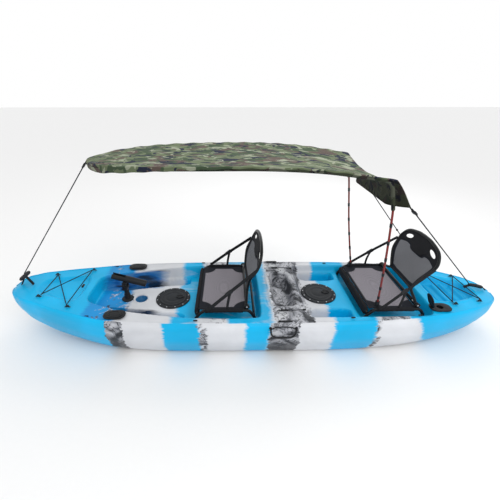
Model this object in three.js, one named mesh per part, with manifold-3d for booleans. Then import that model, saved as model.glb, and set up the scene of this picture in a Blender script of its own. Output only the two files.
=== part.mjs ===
// Two-seat sit-on-top kayak with folding seats and a pole-framed sun canopy.
// Millimetres. +X points to the bow, +Y to port, +Z up. The origin lies on the keel,
// halfway along the hull, at the level of the ground.
import * as THREE from 'three';
import { TessellateModifier } from 'three/addons/modifiers/TessellateModifier.js';
import { mergeVertices } from 'three/addons/utils/BufferGeometryUtils.js';
import Module from 'manifold-3d';

const wasm = await Module();
wasm.setup();

// ---- driving dimensions ---------------------------------------------------------------------

// Hull lines from stern to bow: station, half beam, deck edge height, keel height.
const HULL_LINES = [
  [-1850, 14, 296, 236],
  [-1825, 82, 304, 192],
  [-1765, 152, 316, 150],
  [-1650, 222, 328, 106],
  [-1450, 304, 338, 62],
  [-1150, 376, 343, 26],
  [-800, 415, 345, 6],
  [-400, 430, 345, 0],
  [0, 430, 345, 0],
  [400, 430, 345, 0],
  [800, 416, 346, 6],
  [1080, 386, 350, 26],
  [1340, 316, 364, 66],
  [1580, 232, 382, 126],
  [1740, 160, 391, 205],
  [1818, 88, 389, 270],
  [1850, 14, 374, 340],
];
// Half of a cross-section, keel to deck centre: share of half beam, share of depth, extra height.
const HALF_SECTION = [
  [0, 0, 0],
  [0.16, 0, 0],
  [0.27, 0.02, 14],
  [0.42, 0.02, 14],
  [0.52, 0, 0],
  [0.68, 0, 0],
  [0.78, 0.06, 0],
  [0.95, 0.54, 0],
  [1, 0.84, 0],
  [0.985, 0.95, 0],
  [0.93, 1, 0],
  [0.5, 1, 0],
];
const WALL = 7;                      // moulded wall of the hull
const CAVITY_END = 1700;             // the hollow stops short of the solid bow and stern
const FLOOR_Z = 250;                 // cockpit floor
const TROUGH_Z = 168;                // foot troughs
const PLATEAU_Z = 286;               // raised floor round the rear hatch
const TRAY_Z = 258;                  // gear tray between the seats
const TANK_Z = 268;                  // floor of the stern tank well
const WELL_TOP_Z = 430;              // height to which the cutting tools reach

const HATCHES = [
  { name: 'hatch_front', x: 650, z: FLOOR_Z },
  { name: 'hatch_rear', x: -494, z: PLATEAU_Z },
];
const HATCH_R = 134;
const HATCH_HOLE_R = 104;
const CUP_X = 900;
const CUP_R = 48;
const CUP_DEPTH = 44;
const SCUPPER_R = 13;
const SCUPPERS = [[230, 150], [230, -150], [-980, 150], [-980, -150]];

const SEATS = [
  { name: 'seat_front', x: 449 },
  { name: 'seat_rear', x: -738 },
];
const SEAT_TUBE_R = 11;
const SEAT_SIDE_Y = 300;
const SEAT_FOOT_Z = FLOOR_Z + SEAT_TUBE_R + 0.4;
const SEAT_RAIL_Z = 366;
const BACK_PIVOT = { x: -362, y: 274, z: 386 };      // measured from the seat's front bar
const LUG_Y = 288;
const BACK_TUBE_R = 10;
const BACK_LEAN = THREE.MathUtils.degToRad(15);
const BACK_WRAP = 30;                // how far the backrest's sides bow forward, at most

const ROD_X = 1006;
const ROD_PIVOT_Z = 398;
const ROD_TILT = THREE.MathUtils.degToRad(17);
const ROD_TUBE_LENGTH = 258;
const ROD_TUBE_R = 26;
const ROD_BORE_R = 21;

const FLUSH_HOLDERS = [
  { name: 'flush_holder_bow_port', x: 993, y: 320, open: false },
  { name: 'flush_holder_bow_starboard', x: 993, y: -320, open: false },
  { name: 'flush_holder_stern_port', x: -1290, y: 258, open: true },
  { name: 'flush_holder_stern_starboard', x: -1290, y: -258, open: false },
];
const FLUSH_TILT = THREE.MathUtils.degToRad(24);
const FLUSH_R = 27;
const FLUSH_BORE_R = 21;
const FLUSH_DEPTH = 118;
const FLUSH_HINGE_X = 60;            // hinge of the cap, forward of the bore
const FLUSH_LIFT = 1.6;              // keeps the level flanges clear of the rising deck

const BOW_PADS = { front: [1592, 146], rear: [1342, 246] };
const STERN_PADS = { front: [-1430, 215], rear: [-1640, 170] };
const BUNGEE_R = 3.5;
const SIDE_HANDLE = { x: -151, y: 441, z: 318, half: 86, drop: 62 };

const CANOPY_SKIN = 5;
// Canopy from the front tip to the ridge over the poles: station, half width, edge height, sag.
const CANOPY_LINES = [
  [1087, 10, 1338, 0],
  [1052, 114, 1342, 0],
  [960, 232, 1350, 2],
  [800, 322, 1359, 6],
  [600, 374, 1366, 12],
  [350, 396, 1370, 18],
  [0, 400, 1370, 24],
  [-300, 394, 1353, 32],
  [-550, 388, 1320, 42],
  [-690, 385, 1296, 50],
];
const CANOPY_HEM = { x: -733, z: 1112, gussetX: -802, gussetZ: 1140, gussetY: 385 };
const POLE_R = 7;
const POLE_FOOT = { x: -822, y: 274, z: 392 };
const GUY_R = 3.5;
const GUY_TAIL = 84;

// ---- finishes -------------------------------------------------------------------------------

const FINISH = {
  hull: [0x12a6dc, 0.38, 0],
  blackPlastic: [0x16181b, 0.5, 0],
  blackTube: [0x1b1c1f, 0.35, 0.6],
  greyMesh: [0x9d9aa3, 0.85, 0],
  darkMesh: [0x6b6d73, 0.85, 0],
  blackFabric: [0x141519, 0.9, 0],
  webbing: [0x101114, 0.85, 0],
  cord: [0x1a2026, 0.8, 0],
  camouflage: [0x3c4a30, 0.85, 0],
  pole: [0x6e2320, 0.35, 0],
  steel: [0xa9adb2, 0.3, 1],
};

function material(kind) {
  const [color, roughness, metalness] = FINISH[kind];
  return new THREE.MeshStandardMaterial({ color, roughness, metalness });
}

const kayak = new THREE.Group();

function add(name, geometry, kind) {
  const mesh = new THREE.Mesh(geometry, material(kind));
  mesh.name = name;
  kayak.add(mesh);
  return mesh;
}

// ---- solid helpers --------------------------------------------------------------------------

function toSolid(geometry) {
  const bare = geometry.clone();
  bare.deleteAttribute('normal');
  bare.deleteAttribute('uv');
  const merged = mergeVertices(bare, 0.001);
  return new wasm.Manifold(new wasm.Mesh({
    numProp: 3,
    vertProperties: new Float32Array(merged.attributes.position.array),
    triVerts: new Uint32Array(merged.index.array),
  }));
}

function toGeometry(solid) {
  const mesh = solid.getMesh();
  const geometry = new THREE.BufferGeometry();
  geometry.setAttribute('position', new THREE.BufferAttribute(mesh.vertProperties, 3));
  geometry.setIndex(new THREE.BufferAttribute(mesh.triVerts, 1));
  return geometry;
}

function union(geometries) {
  const solids = geometries.map(toSolid);
  return toGeometry(solids.reduce((whole, piece) => whole.add(piece)));
}

// Skins a row of rings that all have the same number of points, and closes both ends.
function loft(rings) {
  const count = rings[0].length;
  const vertices = rings.flat();
  const index = [];
  for (let r = 0; r < rings.length - 1; r += 1) {
    for (let i = 0; i < count; i += 1) {
      const a = r * count + i;
      const b = r * count + (i + 1) % count;
      index.push(a, b, b + count, a, b + count, a + count);
    }
  }
  for (const [start, flip] of [[0, true], [(rings.length - 1) * count, false]]) {
    const centre = new THREE.Vector3();
    for (let i = 0; i < count; i += 1) centre.addScaledVector(vertices[start + i], 1 / count);
    vertices.push(centre);
    for (let i = 0; i < count; i += 1) {
      const pair = [start + i, start + (i + 1) % count];
      if (flip) pair.reverse();
      index.push(pair[0], pair[1], vertices.length - 1);
    }
  }
  return outward(new THREE.BufferGeometry().setFromPoints(vertices), index);
}

// Sets the index so that the faces point away from the body.
function outward(geometry, index) {
  const p = geometry.attributes.position;
  const [a, b, c] = [new THREE.Vector3(), new THREE.Vector3(), new THREE.Vector3()];
  let volume = 0;
  for (let i = 0; i < index.length; i += 3) {
    a.fromBufferAttribute(p, index[i]);
    b.fromBufferAttribute(p, index[i + 1]);
    c.fromBufferAttribute(p, index[i + 2]);
    volume += a.dot(b.cross(c));
  }
  geometry.setIndex(volume < 0 ? index.slice().reverse() : index);
  return geometry;
}

function vectors(points) {
  return points.map(([x, y, z]) => new THREE.Vector3(x, y, z));
}

function circleShape(radius, sides) {
  const points = [];
  for (let i = 0; i < sides; i += 1) {
    const angle = (i / sides) * 2 * Math.PI;
    points.push(new THREE.Vector2(radius * Math.cos(angle), radius * Math.sin(angle)));
  }
  return new THREE.Shape(points);
}

// Round bar along a smooth curve through the given points.
function tube(points, radius, steps, sides = 8, tension = 0.5) {
  const path = new THREE.CatmullRomCurve3(vectors(points), false, 'catmullrom', tension);
  return new THREE.ExtrudeGeometry(circleShape(radius, sides), { steps, extrudePath: path });
}

// Flat webbing through the given points, its width lying along one direction.
function strap(points, width, thickness, widthAxis) {
  const across = new THREE.Vector3(...widthAxis).normalize().multiplyScalar(width / 2);
  const route = vectors(points);
  const rings = route.map((point, i) => {
    const before = route[Math.max(i - 1, 0)];
    const after = route[Math.min(i + 1, route.length - 1)];
    const normal = after.clone().sub(before).cross(across).normalize().multiplyScalar(thickness / 2);
    return [[1, 1], [-1, 1], [-1, -1], [1, -1]].map(
      ([u, v]) => point.clone().addScaledVector(across, u).addScaledVector(normal, v),
    );
  });
  return loft(rings);
}

// Turned piece: profile points are [radius, height], turned about Z.
function turned(profile, segments = 24) {
  const points = profile.map(([r, z]) => new THREE.Vector2(r, z));
  points.push(points[0].clone());
  return new THREE.LatheGeometry(points, segments).rotateX(Math.PI / 2);
}

function roundedOutline(width, height, radius) {
  const [w, h] = [width / 2 - radius, height / 2 - radius];
  const shape = new THREE.Shape();
  shape.absarc(w, h, radius, 0, Math.PI / 2);
  shape.absarc(-w, h, radius, Math.PI / 2, Math.PI);
  shape.absarc(-w, -h, radius, Math.PI, 1.5 * Math.PI);
  shape.absarc(w, -h, radius, 1.5 * Math.PI, 2 * Math.PI);
  return shape;
}

function plate(shape, depth, curveSegments = 4) {
  return new THREE.ExtrudeGeometry(shape, { depth, bevelEnabled: false, curveSegments });
}

function polygon(points) {
  return new THREE.Shape(points.map(([x, y]) => new THREE.Vector2(x, y)));
}

// ---- hull -----------------------------------------------------------------------------------

function deckZ(x) {
  const next = HULL_LINES.findIndex(([station]) => station >= x);
  const [a, b] = [HULL_LINES[next - 1], HULL_LINES[next]];
  return THREE.MathUtils.mapLinear(x, a[0], b[0], a[2], b[2]);
}

function deckSlope(x) {
  return Math.atan2(deckZ(x + 15) - deckZ(x - 15), 30);
}

function hullRing([x, halfBeam, deck, keel], inset) {
  const half = HALF_SECTION.map(([share, height, extra]) => {
    const y = share * Math.max(halfBeam - inset, 1);
    const low = keel + inset;
    const z = low + height * (deck - inset - low) + extra * Math.min(1, halfBeam / 300);
    return new THREE.Vector3(x, y, z);
  });
  const mirrored = half.slice(1).reverse().map((p) => new THREE.Vector3(p.x, -p.y, p.z));
  return [...half, ...mirrored];
}

// A moulded recess: the outline is its port half seen from above, bow to stern.
function recess(outline, floorZ, grow, taper = 0.16) {
  const full = [...outline, ...outline.slice().reverse().map(([x, y]) => [x, -y])];
  return taperedCut(full, floorZ, grow, taper);
}

// Cuts from a floor up past the deck; the walls lean outwards, and grow adds a wall thickness.
function taperedCut(outline, floorZ, grow, taper) {
  const xs = outline.map((p) => p[0]);
  const ys = outline.map((p) => p[1]);
  const [x0, x1] = [Math.min(...xs), Math.max(...xs)];
  const [y0, y1] = [Math.min(...ys), Math.max(...ys)];
  const [cx, cy] = [(x0 + x1) / 2, (y0 + y1) / 2];
  const ringAt = (z) => {
    const margin = grow + (z - 345) * taper;
    const kx = 1 + (2 * margin) / (x1 - x0);
    const ky = 1 + (2 * margin) / (y1 - y0);
    return outline.map(([x, y]) => new THREE.Vector3(cx + (x - cx) * kx, cy + (y - cy) * ky, z));
  };
  return loft([ringAt(floorZ - grow), ringAt(WELL_TOP_Z)]);
}

// Upright cylinder between two heights.
function roundCut(x, y, radius, floorZ, topZ, sides = 12) {
  const cut = new THREE.CylinderGeometry(radius, radius, topZ - floorZ, sides);
  return cut.rotateX(Math.PI / 2).translate(x, y, (floorZ + topZ) / 2);
}

function hullCuts(grow) {
  const cuts = [
    recess([[1262, 120], [1220, 178], [960, 268], [480, 348], [20, 350], [-18, 322]], FLOOR_Z, grow),
    recess([[-326, 330], [-366, 350], [-1120, 338], [-1206, 326], [-1244, 250]], PLATEAU_Z, grow),
    recess([[-706, 340], [-760, 344], [-1120, 338], [-1202, 326], [-1236, 250]], FLOOR_Z, grow),
    recess([[-112, 190], [-140, 226], [-250, 226], [-282, 190]], TRAY_Z, grow, 0.3),
    recess([[-1318, 160], [-1345, 176], [-1480, 170], [-1660, 100], [-1690, 60]], TANK_Z, grow, 0.3),
  ];
  for (const side of [1, -1]) {
    const trough = [[1128, 80], [1110, 190], [940, 252], [560, 318], [520, 300], [520, 176], [760, 160]];
    cuts.push(taperedCut(trough.map(([x, y]) => [x, side * y]), TROUGH_Z, grow, 0.1));
    const footwell = [[-372, 176], [-372, 310], [-400, 326], [-660, 322], [-690, 300], [-690, 176]];
    cuts.push(taperedCut(footwell.map(([x, y]) => [x, side * y]), TROUGH_Z, grow, 0.1));
  }
  cuts.push(roundCut(CUP_X, 0, CUP_R + grow, FLOOR_Z - CUP_DEPTH - grow, WELL_TOP_Z));
  for (const holder of FLUSH_HOLDERS) {
    const well = roundCut(0, 0, FLUSH_R + 1 + grow, -FLUSH_DEPTH - grow - 3, 40);
    cuts.push(well.rotateY(FLUSH_TILT).translate(holder.x, holder.y, deckZ(holder.x) + FLUSH_LIFT));
  }
  for (const [x, y] of SCUPPERS) {
    cuts.push(roundCut(x, y, SCUPPER_R + grow, -20, WELL_TOP_Z, 8));
  }
  return cuts.map(toSolid);
}

function hullGeometry() {
  let shell = toSolid(loft(HULL_LINES.map((line) => hullRing(line, 0))));
  for (const cut of hullCuts(0)) shell = shell.subtract(cut);
  const inner = HULL_LINES.filter(([x]) => Math.abs(x) < CAVITY_END);
  let cavity = toSolid(loft(inner.map((line) => hullRing(line, WALL))));
  for (const cut of hullCuts(WALL)) cavity = cavity.subtract(cut);
  shell = shell.subtract(cavity);
  for (const hatch of HATCHES) {
    shell = shell.subtract(toSolid(roundCut(hatch.x, 0, HATCH_HOLE_R, 60, WELL_TOP_Z, 20)));
  }
  return toGeometry(shell);
}

add('hull', hullGeometry(), 'hull');

// ---- round hatches --------------------------------------------------------------------------

for (const hatch of HATCHES) {
  const rim = turned([
    [96, -14], [102, -14], [102, 0.4], [HATCH_R, 0.4], [HATCH_R - 3, 8], [108, 10], [108, 4], [96, 4],
  ], 20);
  add(`${hatch.name}_rim`, rim.translate(hatch.x, 0, hatch.z), 'blackPlastic');
  const lid = turned([[0, -6], [94, -6], [94, 4.6], [107.4, 4.6], [107.4, 11], [100, 14], [0, 14]], 20);
  const grip = plate(roundedOutline(64, 40, 18), 9).translate(-54, 0, 13);
  const lidSolid = union([lid, grip]);
  add(`${hatch.name}_lid`, lidSolid.translate(hatch.x, 0, hatch.z), 'blackPlastic');
}

// ---- adjustable rod holder ------------------------------------------------------------------

const rodBase = turned([[0, 0.4], [46, 0.4], [46, 6], [40, 12], [24, 14], [24, 40], [0, 40]], 20);
add('rod_mount_base', rodBase.translate(ROD_X, 0, FLOOR_Z), 'blackPlastic');

const rodStem = turned([[0, 40.4], [21, 40.4], [23, 48], [19, 60], [17, 100], [0, 100]], 16);
const rodFork = [
  rodStem.translate(0, 0, FLOOR_Z),
  new THREE.BoxGeometry(34, 66, 20).translate(0, 0, FLOOR_Z + 108),
];
for (const side of [1, -1]) {
  rodFork.push(new THREE.BoxGeometry(30, 5, 56).translate(0, side * 30.5, ROD_PIVOT_Z - 6));
}
add('rod_mount_post', union(rodFork).translate(ROD_X, 0, 0), 'blackPlastic');

// The holder lies along X, its mouth forward and raised, with a slot in the top for the reel.
function alongHolder(geometry) {
  return geometry.rotateZ(-Math.PI / 2).rotateY(-ROD_TILT).translate(-36, 0, 31);
}

const rodOuter = new THREE.CylinderGeometry(ROD_TUBE_R, ROD_TUBE_R, ROD_TUBE_LENGTH, 16);
const rodBore = new THREE.CylinderGeometry(ROD_BORE_R, ROD_BORE_R, ROD_TUBE_LENGTH, 16).translate(0, 12, 0);
const rodSlot = new THREE.BoxGeometry(26, 120, 40).translate(0, 90, 22);
const rodCradle = union([
  alongHolder(rodOuter),
  new THREE.CylinderGeometry(14, 14, 50, 12),
  new THREE.BoxGeometry(26, 50, 18).translate(-2, 0, 11),
]);
const rodHolder = toSolid(rodCradle)
  .subtract(toSolid(alongHolder(rodBore)))
  .subtract(toSolid(alongHolder(rodSlot)));
add('rod_mount_tube', toGeometry(rodHolder).translate(ROD_X, 0, ROD_PIVOT_Z), 'blackPlastic');

const knobPoints = [];
for (let i = 0; i < 12; i += 1) {
  const radius = i % 2 ? 14 : 18;
  knobPoints.push([radius * Math.cos((i * Math.PI) / 6), radius * Math.sin((i * Math.PI) / 6)]);
}
const knob = plate(polygon(knobPoints), 16).rotateX(-Math.PI / 2);
add('rod_mount_knob', knob.translate(ROD_X, 33.4, ROD_PIVOT_Z), 'blackPlastic');

// ---- flush rod holders and their hinged caps ------------------------------------------------

for (const holder of FLUSH_HOLDERS) {
  const place = [holder.x, holder.y, deckZ(holder.x) + FLUSH_LIFT];
  const body = toSolid(roundCut(0, 0, FLUSH_R, -FLUSH_DEPTH, -10).rotateY(FLUSH_TILT))
    .add(toSolid(plate(roundedOutline(150, 92, 42), 6)));
  const bore = toSolid(roundCut(0, 0, FLUSH_BORE_R, 8 - FLUSH_DEPTH, 40).rotateY(FLUSH_TILT));
  add(holder.name, toGeometry(body.subtract(bore)).translate(...place), 'blackPlastic');
  const lid = plate(roundedOutline(112, 78, 36), 5).translate(-58, 0, 0);
  const hinge = new THREE.CylinderGeometry(3, 3, 30, 8).translate(0, 0, 3);
  const cap = union([lid, hinge]);
  cap.rotateY(holder.open ? THREE.MathUtils.degToRad(112) : 0);
  cap.translate(FLUSH_HINGE_X, 0, holder.open ? 10.5 : 6.4).translate(...place);
  add(`${holder.name}_cap`, cap, 'blackPlastic');
}

// ---- pad eyes and elastic cords on the bow and stern decks ----------------------------------

function padEye() {
  const shape = polygon([[-20, 0], [20, 0], [20, 3], [11, 4], [9, 14], [4, 18], [-4, 18], [-9, 14],
    [-11, 4], [-20, 3]]);
  const eye = [[-6, 5], [6, 5], [4, 12], [-4, 12]].map(([x, y]) => new THREE.Vector2(x, y));
  shape.holes.push(new THREE.Path(eye));
  return plate(shape, 8).translate(0, 0, -4).rotateX(Math.PI / 2);
}

function bungeeLoop(pads) {
  const [front, rear] = [pads.front, pads.rear];
  const side = Math.sign(front[0]);
  const corner = ([x, y], sign, along) => [x + along, sign * (y - 8), deckZ(x) + 9];
  const route = [
    corner(front, 1, -side * 14),
    corner(front, -1, -side * 10),
    corner(rear, 1, side * 10),
    corner(rear, -1, side * 10),
    corner(front, 1, -side * 24),
  ];
  route[2][2] += 4;
  route[4][2] += 9;
  const path = new THREE.CurvePath();
  const points = vectors(route);
  for (let i = 0; i < points.length - 1; i += 1) path.add(new THREE.LineCurve3(points[i], points[i + 1]));
  return new THREE.ExtrudeGeometry(circleShape(BUNGEE_R, 8), { steps: 22, extrudePath: path });
}

for (const [end, pads] of [['bow', BOW_PADS], ['stern', STERN_PADS]]) {
  for (const [row, [x, y]] of Object.entries(pads)) {
    for (const [sideName, sign] of [['port', 1], ['starboard', -1]]) {
      const eye = padEye().rotateZ(end === 'bow' ? 0 : Math.PI).rotateY(-deckSlope(x));
      add(`pad_${end}_${row}_${sideName}`, eye.translate(x, sign * y, deckZ(x) + 0.6), 'blackPlastic');
    }
  }
  add(`bungee_${end}`, bungeeLoop(pads), 'cord');
}

// ---- carry handles --------------------------------------------------------------------------

const bowHandle = union([
  strap([[1792, 0, 393], [1776, 0, 420], [1752, 0, 462]], 24, 4, [0, 1, 0]),
  strap([[1704, 0, 392], [1720, 0, 424], [1742, 0, 462]], 24, 4, [0, 1, 0]),
  new THREE.CylinderGeometry(15, 15, 116, 12).translate(1747, 0, 470),
]);
add('bow_handle', bowHandle, 'webbing');

const sternHandle = union([
  strap([[-1808, 0, 312], [-1798, 0, 326], [-1772, 0, 343]], 24, 4, [0, 1, 0]),
  strap([[-1636, 0, 334], [-1648, 0, 348], [-1676, 0, 356]], 24, 4, [0, 1, 0]),
  tube([[-1782, 0, 342], [-1724, 0, 356], [-1664, 0, 358]], 14, 6, 12),
]);
add('stern_handle', sternHandle, 'webbing');

for (const [sideName, sign] of [['port', 1], ['starboard', -1]]) {
  const { x, y, z, half, drop } = SIDE_HANDLE;
  const grip = tube([
    [x - half, sign * y, z],
    [x - half + 8, sign * (y + 4), z - drop * 0.7],
    [x - half * 0.6, sign * (y + 8), z - drop],
    [x, sign * (y + 10), z - drop],
    [x + half * 0.6, sign * (y + 8), z - drop],
    [x + half - 8, sign * (y + 4), z - drop * 0.7],
    [x + half, sign * y, z],
  ], 7, 14);
  add(`side_handle_${sideName}`, grip, 'blackPlastic');
}

// ---- folding seats --------------------------------------------------------------------------

// The backrest is drawn flat in the Y-Z plane about its pivot, then leaned aft.
function lean(geometry, seatX) {
  return geometry.rotateY(-BACK_LEAN).translate(seatX + BACK_PIVOT.x, 0, BACK_PIVOT.z);
}

// Forward bow of the backrest at a point of its plane: most at the sides, half way up.
function wrap(y, z) {
  return BACK_WRAP * (y / 230) ** 2 * Math.exp(-(((z - 150) / 95) ** 2));
}

// Bends a flat panel of the backrest to the same bow.
function wrapped(panel) {
  const bent = new TessellateModifier(60, 12).modify(panel);
  const p = bent.attributes.position;
  for (let i = 0; i < p.count; i += 1) p.setX(i, p.getX(i) + wrap(p.getY(i), p.getZ(i)));
  return bent;
}

function wallPanel(outline, thickness, holes = []) {
  const shape = polygon(outline);
  for (const hole of holes) shape.holes.push(hole);
  return plate(shape, thickness).translate(0, 0, -thickness / 2).rotateX(Math.PI / 2).rotateZ(Math.PI / 2);
}

// Oval hand holes near the two top corners of the backrest.
function handHoles() {
  return [1, -1].map((side) => {
    const points = [];
    for (let i = 0; i < 12; i += 1) {
      const angle = (i * Math.PI) / 6;
      const [along, up] = [46 * Math.cos(angle), 19 * Math.sin(angle)];
      const tilt = THREE.MathUtils.degToRad(-18);
      points.push(new THREE.Vector2(
        side * (150 + along * Math.cos(tilt) - up * Math.sin(tilt)),
        341 + along * Math.sin(tilt) + up * Math.cos(tilt),
      ));
    }
    return new THREE.Path(points);
  });
}

function pivotBar(seatX, radius, length) {
  const bar = new THREE.CylinderGeometry(radius, radius, length, 12);
  return bar.translate(seatX + BACK_PIVOT.x, 0, BACK_PIVOT.z);
}

function mirrorY(points) {
  return [...points, ...points.slice().reverse().map(([y, ...rest]) => [-y, ...rest])];
}

for (const seat of SEATS) {
  const { name, x } = seat;
  const parts = [];
  for (const side of [1, -1]) {
    parts.push(tube([
      [x + 6, side * SEAT_SIDE_Y, SEAT_FOOT_Z],
      [x - 8, side * SEAT_SIDE_Y, SEAT_FOOT_Z + 40],
      [x - 60, side * SEAT_SIDE_Y, SEAT_RAIL_Z - 8],
      [x - 120, side * SEAT_SIDE_Y, SEAT_RAIL_Z],
      [x - 320, side * SEAT_SIDE_Y, SEAT_RAIL_Z],
      [x - 380, side * SEAT_SIDE_Y, SEAT_RAIL_Z - 8],
      [x - 418, side * SEAT_SIDE_Y, SEAT_FOOT_Z + 40],
      [x - 430, side * SEAT_SIDE_Y, SEAT_FOOT_Z],
    ], SEAT_TUBE_R, 13));
    const lug = new THREE.BoxGeometry(34, 6, 42);
    parts.push(lug.translate(x + BACK_PIVOT.x, side * LUG_Y, BACK_PIVOT.z - 2));
  }
  for (const [barX, barZ] of [[x - 14, 336], [x - 414, 322]]) {
    const bar = new THREE.CylinderGeometry(9, 9, 2 * SEAT_SIDE_Y, 8);
    parts.push(bar.translate(barX, 0, barZ));
  }
  const pinBore = toSolid(pivotBar(x, 6.5, 2 * LUG_Y + 40));
  add(`${name}_frame`, toGeometry(toSolid(union(parts)).subtract(pinBore)), 'blackTube');
  add(`${name}_pivot_pin`, pivotBar(x, 6, 2 * LUG_Y + 12), 'steel');

  const sleeve = roundedOutline(44, 76, 18);
  sleeve.holes.push(new THREE.Path(circleShape(10.5, 10).getPoints()));
  const roll = plate(sleeve, 556, 3).translate(0, 0, -278).rotateX(Math.PI / 2);
  add(`${name}_front_roll`, roll.translate(x - 14, 0, 336), 'blackFabric');

  const half = LUG_Y - 5;
  const pan = [0, 0.25, 0.5, 0.75, 1].map((t) => {
    const px = x - 40 - 320 * t;
    const sag = 12 * Math.sin(Math.PI * t);
    const edge = SEAT_RAIL_Z;
    const top = [[half, edge], [half * 0.5, edge - sag], [0, edge - sag * 1.3], [-half * 0.5, edge - sag],
      [-half, edge]];
    const bottom = top.slice().reverse().map(([y, z]) => [y, z - 5]);
    return [...top, ...bottom].map(([y, z]) => new THREE.Vector3(px, y, z));
  });
  add(`${name}_pan`, loft(pan), 'greyMesh');

  const backTube = tube(mirrorY([
    [274, 0], [226, 22], [160, 52], [184, 110], [224, 190], [244, 262], [240, 318], [190, 374], [92, 402],
    [30, 408],
  ]).map(([y, z]) => [wrap(y, z), y, z]), BACK_TUBE_R, 34);
  const lowerBar = new THREE.CylinderGeometry(8, 8, 326, 8).translate(wrap(160, 52) / 2, 0, 52);
  const eyes = [1, -1].map((side) => {
    const eye = new THREE.CylinderGeometry(16, 16, 8, 12);
    return eye.translate(0, side * BACK_PIVOT.y, 0);
  });
  const eyeBore = toSolid(new THREE.CylinderGeometry(6.5, 6.5, 2 * LUG_Y, 12));
  const backSolid = toSolid(union([backTube, lowerBar, ...eyes])).subtract(eyeBore);
  add(`${name}_back_frame`, lean(toGeometry(backSolid), x), 'blackTube');

  const meshOutline = mirrorY([
    [140, 68], [167, 112], [206, 190], [226, 262], [211, 284], [150, 305], [84, 299], [66, 270],
  ]);
  add(`${name}_back_mesh`, lean(wrapped(wallPanel(meshOutline, 4)), x), 'darkMesh');
  const topOutline = mirrorY([
    [60, 273], [78, 304], [149, 310], [214, 289], [227, 282], [224, 316], [179, 360], [90, 388],
  ]);
  add(`${name}_top_panel`, lean(wrapped(wallPanel(topOutline, 7, handHoles())), x), 'blackFabric');

  for (const [sideName, side] of [['port', 1], ['starboard', -1]]) {
    const brace = strap([
      [x - 84, side * 316, 372],
      [x - 240, side * 292, 506],
      [x - 424, side * 258, 656],
    ], 24, 3, [0.66, 0, 0.75]);
    add(`${name}_strap_${sideName}`, brace, 'webbing');
  }
}

// ---- sun canopy -----------------------------------------------------------------------------

function canopyRing(x, half, edgeZ, sag, dropX, dropZ) {
  const top = [1, 0.66, 0.33, 0, -0.33, -0.66, -1].map((share) => {
    const sink = sag * (1 - share * share);
    return new THREE.Vector3(x, share * half, edgeZ - sink);
  });
  const under = top.slice().reverse().map((p) => new THREE.Vector3(p.x + dropX, p.y, p.z + dropZ));
  return [...top, ...under];
}

function hemRing() {
  const { x, z, gussetX, gussetZ } = CANOPY_HEM;
  const ring = canopyRing(x, CANOPY_HEM.gussetY, z, 0, CANOPY_SKIN, 0);
  for (const i of [0, 6, 7, 13]) {
    ring[i].x += gussetX - x;
    ring[i].z = gussetZ;
  }
  return ring;
}

const canopyRings = CANOPY_LINES.map(([x, half, edgeZ, sag], i) => {
  const last = i === CANOPY_LINES.length - 1;
  return canopyRing(x, half, edgeZ, sag, last ? 4 : 0, last ? -6 : -CANOPY_SKIN);
});
add('canopy_skin', loft([...canopyRings, hemRing()]), 'camouflage');

for (const [sideName, side] of [['port', 1], ['starboard', -1]]) {
  const route = CANOPY_LINES.slice(2, -1).map(([x, half, edgeZ]) => [x, side * (half - 14), edgeZ - 18]);
  route.unshift([1050, side * 52, 1322]);
  route.push(
    [-640, side * 370, 1284],
    [-672, side * 368, 1262],
    [-692, side * 366, 1210],
    [CANOPY_HEM.x + 14, side * 362, CANOPY_HEM.z],
    [-772, side * 330, 740],
    [POLE_FOOT.x + 3, side * (POLE_FOOT.y + 3), POLE_FOOT.z + 46],
    [POLE_FOOT.x, side * POLE_FOOT.y, POLE_FOOT.z],
  );
  add(`pole_${sideName}`, tube(route, POLE_R, 34), 'pole');
  const socket = toSolid(roundCut(0, 0, 14.5, -14, 24, 12))
    .subtract(toSolid(roundCut(0, 0, POLE_R + 4, -1, 30, 12)));
  const footing = toGeometry(socket).translate(POLE_FOOT.x, side * POLE_FOOT.y, POLE_FOOT.z);
  add(`pole_socket_${sideName}`, footing, 'blackPlastic');
}

// ---- guy lines ------------------------------------------------------------------------------

// A straight line from the canopy to the hull: a webbing tail with its buckle, then thin cord.
function guyLine(name, from, to) {
  const [start, end] = vectors([from, to]);
  const along = end.clone().sub(start).normalize();
  const at = (distance) => start.clone().addScaledVector(along, distance);
  const path = new THREE.LineCurve3(at(GUY_TAIL + 0.5), end);
  add(name, new THREE.ExtrudeGeometry(circleShape(GUY_R, 8), { steps: 3, extrudePath: path }), 'cord');
  const tail = [at(8), at(GUY_TAIL)].map((p) => p.toArray());
  const across = new THREE.Vector3(0, 0, 1).cross(along).toArray();
  const [buckleStart, buckleEnd] = [at(GUY_TAIL - 44), at(GUY_TAIL - 12)].map((p) => p.toArray());
  const buckle = [strap(tail, 18, 4, across), strap([buckleStart, buckleEnd], 28, 9, across)];
  add(`${name}_buckle`, union(buckle), 'webbing');
}

guyLine('guy_bow', [1088, 0, 1336], [1747, 0, 488.5]);
guyLine('guy_stern_port', [-802, 383, 1138], [-1656, 10, 376.5]);
guyLine('guy_stern_starboard', [-802, -383, 1138], [-1430, -215, 368]);

export default kayak;
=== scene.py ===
"""Tandem sit-on-top kayak with a sun canopy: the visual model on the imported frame."""
import math
from contextlib import contextmanager

import bmesh
import bpy
import numpy as np
from mathutils import Matrix, Vector


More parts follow.
